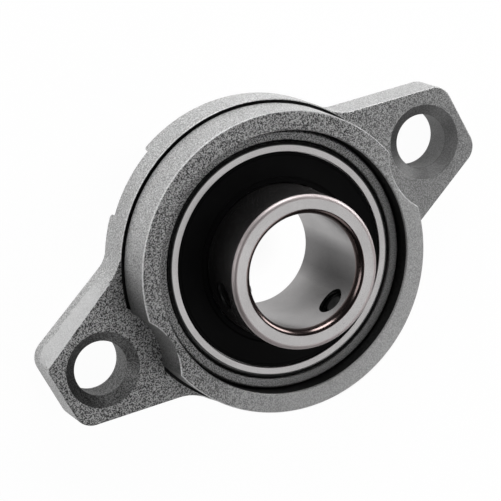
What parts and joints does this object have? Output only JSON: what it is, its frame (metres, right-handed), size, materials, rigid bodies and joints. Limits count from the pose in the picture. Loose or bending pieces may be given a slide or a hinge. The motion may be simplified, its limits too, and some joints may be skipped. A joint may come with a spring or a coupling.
{
  "type": "two-bolt flange bearing unit",
  "caption": "Two-bolt oval flange with a round boss, holding a self-aligning sealed ball bearing whose long inner ring clamps a shaft with set screws.",
  "frame": {"origin": "centre of the shaft bore on the housing's back face", "axes": "+Z along the shaft bore, from the mounting face towards the nose; +X towards one bolt hole; +Y across the flange"},
  "size_m": [0.0878, 0.055, 0.0239],
  "materials": {
    "cast_zinc": "die-cast zinc, granular blasted front, smoother side walls",
    "carrier_zinc": "darker die-cast zinc, matt",
    "bearing_steel": "fine ground, satin, with polished corners",
    "ball_steel": "polished",
    "sheet_steel": "pressed sheet, satin",
    "seal_rubber": "moulded, satin",
    "black_steel": "black oxide"
  },
  "bodies": {
    "housing": {"housing": "cast_zinc"},
    "insert": {"carrier_ring": "carrier_zinc", "outer_ring": "bearing_steel", "front_seal": "seal_rubber", "front_seal_core": "sheet_steel", "back_seal": "seal_rubber", "back_seal_core": "sheet_steel"},
    "inner_ring": {"inner_ring": "bearing_steel"},
    "cage": {"cage_front_half": "sheet_steel", "cage_back_half": "sheet_steel", "cage_rivet_1": "sheet_steel", "cage_rivet_2": "sheet_steel", "cage_rivet_3": "sheet_steel", "cage_rivet_4": "sheet_steel", "cage_rivet_5": "sheet_steel", "cage_rivet_6": "sheet_steel", "cage_rivet_7": "sheet_steel", "cage_rivet_8": "sheet_steel", "cage_rivet_9": "sheet_steel"},
    "ball_1": {"ball_1": "ball_steel"},
    "ball_2": {"ball_2": "ball_steel"},
    "ball_3": {"ball_3": "ball_steel"},
    "ball_4": {"ball_4": "ball_steel"},
    "ball_5": {"ball_5": "ball_steel"},
    "ball_6": {"ball_6": "ball_steel"},
    "ball_7": {"ball_7": "ball_steel"},
    "ball_8": {"ball_8": "ball_steel"},
    "ball_9": {"ball_9": "ball_steel"},
    "set_screw_1": {"set_screw_1": "black_steel"},
    "set_screw_2": {"set_screw_2": "black_steel"}
  },
  "joints": [
    {"name": "insert_tilt", "type": "hinge", "parent": "housing", "child": "insert", "pos_m": [0, 0, 0.00743], "axis": [1, 0, 0], "range_deg": [-2, 2]},
    {"name": "inner_ring_spin", "type": "hinge", "parent": "insert", "child": "inner_ring", "pos_m": [0, 0, 0.00743], "axis": [0, 0, 1], "continuous": true},
    {"name": "cage_spin", "type": "hinge", "parent": "insert", "child": "cage", "pos_m": [0, 0, 0.00743], "axis": [0, 0, 1], "continuous": true},
    {"name": "ball_1_spin", "type": "hinge", "parent": "cage", "child": "ball_1", "pos_m": [0.01527, 0.00269, 0.00743], "axis": [0, 0, 1], "continuous": true},
    {"name": "ball_2_spin", "type": "hinge", "parent": "cage", "child": "ball_2", "pos_m": [0.00996, 0.01187, 0.00743], "axis": [0, 0, 1], "continuous": true},
    {"name": "ball_3_spin", "type": "hinge", "parent": "cage", "child": "ball_3", "pos_m": [0, 0.0155, 0.00743], "axis": [0, 0, 1], "continuous": true},
    {"name": "ball_4_spin", "type": "hinge", "parent": "cage", "child": "ball_4", "pos_m": [-0.00996, 0.01187, 0.00743], "axis": [0, 0, 1], "continuous": true},
    {"name": "ball_5_spin", "type": "hinge", "parent": "cage", "child": "ball_5", "pos_m": [-0.01527, 0.00269, 0.00743], "axis": [0, 0, 1], "continuous": true},
    {"name": "ball_6_spin", "type": "hinge", "parent": "cage", "child": "ball_6", "pos_m": [-0.01342, -0.00775, 0.00743], "axis": [0, 0, 1], "continuous": true},
    {"name": "ball_7_spin", "type": "hinge", "parent": "cage", "child": "ball_7", "pos_m": [-0.0053, -0.01456, 0.00743], "axis": [0, 0, 1], "continuous": true},
    {"name": "ball_8_spin", "type": "hinge", "parent": "cage", "child": "ball_8", "pos_m": [0.0053, -0.01456, 0.00743], "axis": [0, 0, 1], "continuous": true},
    {"name": "ball_9_spin", "type": "hinge", "parent": "cage", "child": "ball_9", "pos_m": [0.01342, -0.00775, 0.00743], "axis": [0, 0, 1], "continuous": true},
    {"name": "set_screw_1_advance", "type": "slide", "parent": "inner_ring", "child": "set_screw_1", "axis": [0.9744, -0.225, 0], "range_m": [-0.0019, 0.0004]},
    {"name": "set_screw_2_advance", "type": "slide", "parent": "inner_ring", "child": "set_screw_2", "axis": [-0.2924, 0.9563, 0], "range_m": [-0.0002, 0.0021]}
  ],
  "couplings": [
    {"joint": "cage_spin", "follows": "inner_ring_spin", "ratio": 0.39758},
    {"joint": "ball_1_spin", "follows": "inner_ring_spin", "ratio": -2.3385},
    {"joint": "ball_2_spin", "follows": "inner_ring_spin", "ratio": -2.3385},
    {"joint": "ball_3_spin", "follows": "inner_ring_spin", "ratio": -2.3385},
    {"joint": "ball_4_spin", "follows": "inner_ring_spin", "ratio": -2.3385},
    {"joint": "ball_5_spin", "follows": "inner_ring_spin", "ratio": -2.3385},
    {"joint": "ball_6_spin", "follows": "inner_ring_spin", "ratio": -2.3385},
    {"joint": "ball_7_spin", "follows": "inner_ring_spin", "ratio": -2.3385},
    {"joint": "ball_8_spin", "follows": "inner_ring_spin", "ratio": -2.3385},
    {"joint": "ball_9_spin", "follows": "inner_ring_spin", "ratio": -2.3385}
  ]
}
